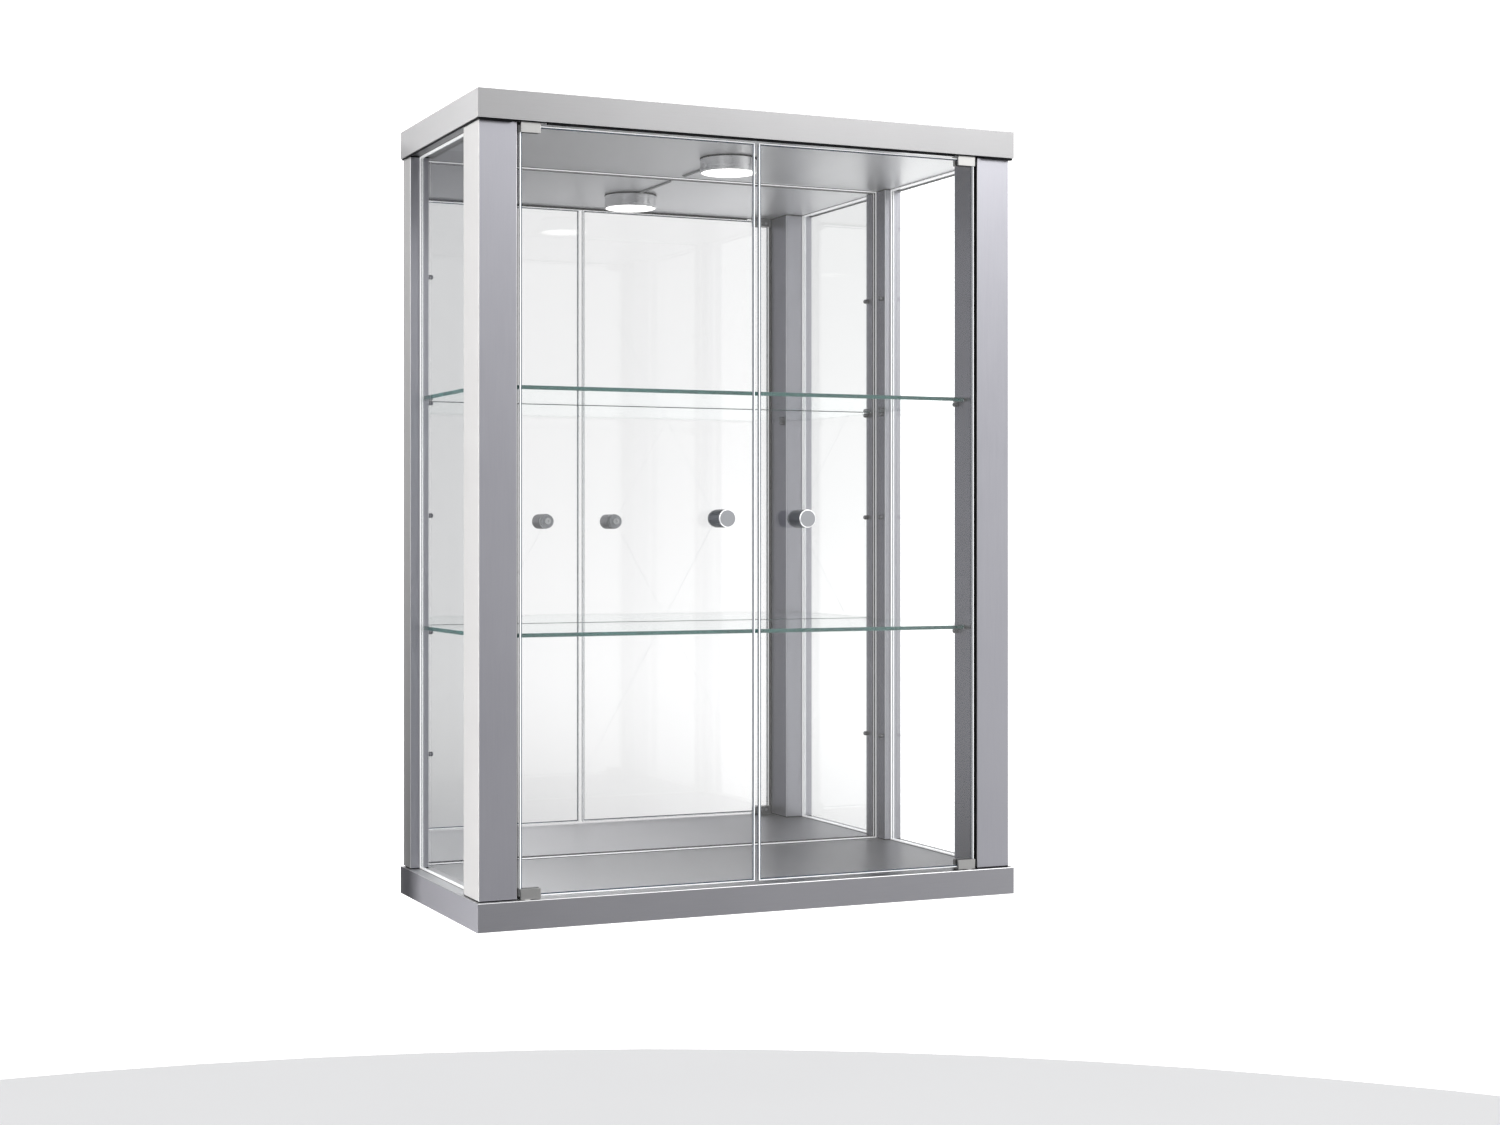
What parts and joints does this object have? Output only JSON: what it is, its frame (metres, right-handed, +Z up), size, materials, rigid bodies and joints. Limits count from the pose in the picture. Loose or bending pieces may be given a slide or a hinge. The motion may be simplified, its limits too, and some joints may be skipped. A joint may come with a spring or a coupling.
{
  "type": "wall mounted display showcase",
  "caption": "Wall-hung glass display showcase with mirror back, two glass doors, glass shelves, corner posts and a small round ceiling lamp.",
  "frame": {"origin": "on the wall plane, midway between the round entries of the two keyhole hangers in the rear edge of the top board", "axes": "+X to the viewer's right, +Y into the wall, so the doors face -Y, +Z up"},
  "size_m": [0.59, 0.2785, 0.8],
  "materials": {
    "silver_board": "satin silver decor foil on MDF and chipboard",
    "clear_glass": "clear float glass, 4 mm, polished edges with a green tint",
    "mirror_glass": "silvered 4 mm glass",
    "back_board": "thin white-faced hardboard",
    "zinc_steel": "bright zinc-plated steel",
    "beech": "plain beech",
    "grey_plastic": "silver-grey moulded cap",
    "pin_metal": "dark nickel-plated steel",
    "clear_seal": "grey translucent PVC profile",
    "satin_nickel": "satin nickel-plated zinc casting",
    "liner_rubber": "black rubber liner",
    "white_nylon": "natural nylon",
    "knob_aluminium": "turned aluminium, satin, with a bright chamfer",
    "clear_plastic": "clear PVC washer",
    "lamp_metal": "brushed stainless steel",
    "black_plastic": "black moulded plastic",
    "lamp_opal": "opal diffuser, lit from behind",
    "led_board": "white-masked circuit board with LEDs",
    "lead_sheath": "black PVC two-core lead"
  },
  "bodies": {
    "cabinet": {"top_board": "silver_board", "bottom_board": "silver_board", "front_post_left": "silver_board", "front_post_right": "silver_board", "rear_post_left": "silver_board", "rear_post_right": "silver_board", "side_glass_left": "clear_glass", "side_glass_right": "clear_glass", "mirror": "mirror_glass", "back_panel": "back_board", "back_panel_screws": "zinc_steel", "corner_screws": "zinc_steel", "wall_hanger_screws": "zinc_steel", "wall_hanger_left": "zinc_steel", "wall_hanger_right": "zinc_steel", "lamp_screws": "zinc_steel", "corner_dowels": "beech", "screw_caps": "grey_plastic", "shelf_pins": "pin_metal", "side_glass_seals_left": "clear_seal", "side_glass_seals_right": "clear_seal", "hinge_bushes_left": "white_nylon", "hinge_bushes_right": "white_nylon", "lamp_housing": "lamp_metal", "lamp_base": "black_plastic", "lead_socket": "black_plastic", "lamp_diffuser": "lamp_opal", "lamp_led_board": "led_board", "lamp_lead": "lead_sheath"},
    "left_door": {"door_glass_left": "clear_glass", "hinge_clamp_top_left": "satin_nickel", "hinge_clamp_bottom_left": "satin_nickel", "hinge_pads_left": "liner_rubber", "hinge_set_screws_left": "zinc_steel", "hinge_pins_left": "satin_nickel", "knob_left": "knob_aluminium", "knob_washers_left": "clear_plastic", "knob_backplate_left": "knob_aluminium", "knob_screw_left": "zinc_steel"},
    "right_door": {"door_glass_right": "clear_glass", "hinge_clamp_top_right": "satin_nickel", "hinge_clamp_bottom_right": "satin_nickel", "hinge_pads_right": "liner_rubber", "hinge_set_screws_right": "zinc_steel", "hinge_pins_right": "satin_nickel", "knob_right": "knob_aluminium", "knob_washers_right": "clear_plastic", "knob_backplate_right": "knob_aluminium", "knob_screw_right": "zinc_steel"},
    "lower_shelf": {"shelf_lower": "clear_glass"},
    "upper_shelf": {"shelf_upper": "clear_glass"}
  },
  "joints": [
    {"name": "left_door_hinge", "type": "hinge", "parent": "cabinet", "child": "left_door", "pos_m": [-0.244, -0.251, -0.386], "axis": [0, 0, -1], "range_deg": [0, 120]},
    {"name": "right_door_hinge", "type": "hinge", "parent": "cabinet", "child": "right_door", "pos_m": [0.244, -0.251, -0.386], "axis": [0, 0, 1], "range_deg": [0, 120]},
    {"name": "lower_shelf_lift", "type": "slide", "parent": "cabinet", "child": "lower_shelf", "axis": [0, 0, 1], "range_m": [0, 0.1]},
    {"name": "upper_shelf_lift", "type": "slide", "parent": "cabinet", "child": "upper_shelf", "axis": [0, 0, 1], "range_m": [0, 0.1]}
  ]
}
